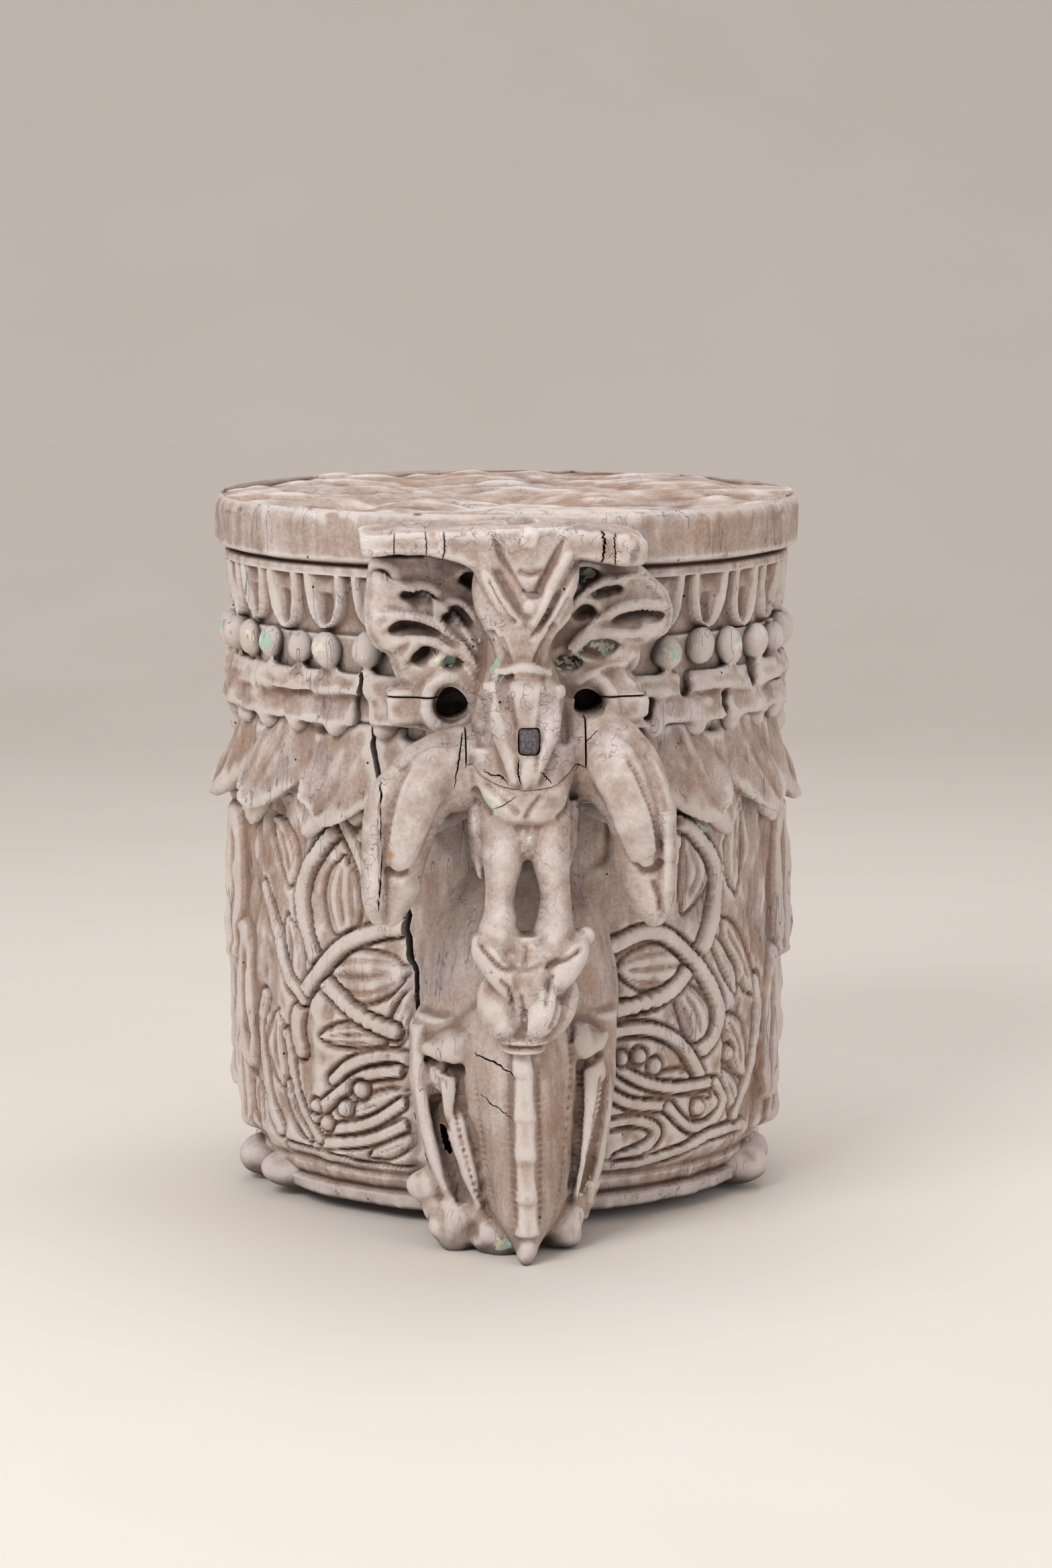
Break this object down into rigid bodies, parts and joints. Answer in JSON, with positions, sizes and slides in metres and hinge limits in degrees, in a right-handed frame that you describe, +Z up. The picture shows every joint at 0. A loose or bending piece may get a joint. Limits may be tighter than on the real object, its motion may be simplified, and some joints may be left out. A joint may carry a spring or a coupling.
{
  "type": "carved wooden capital",
  "caption": "Weathered carved wooden column capital: a drum with leaf and vine bands, and a bird bracket that stands on a ridged pendant pod.",
  "frame": {"origin": "on the drum's axis, in the plane of its flat underside", "axes": "+Z up along the drum's axis; the bird bracket projects towards -Y; +X to the right seen from the front"},
  "size_m": [0.3953, 0.4754, 0.458],
  "materials": {
    "drum_wood": "bare, weathered grey-beige, with traces of pale green and white paint",
    "upper_wood": "bare, weathered end grain",
    "lower_wood": "bare, weathered end grain with paint traces",
    "iron": "dark, lightly rusted"
  },
  "bodies": {
    "root": {"capital_drum": "drum_wood", "bracket_upper": "upper_wood", "bracket_lower": "lower_wood", "iron_nail": "iron"}
  },
  "joints": []
}
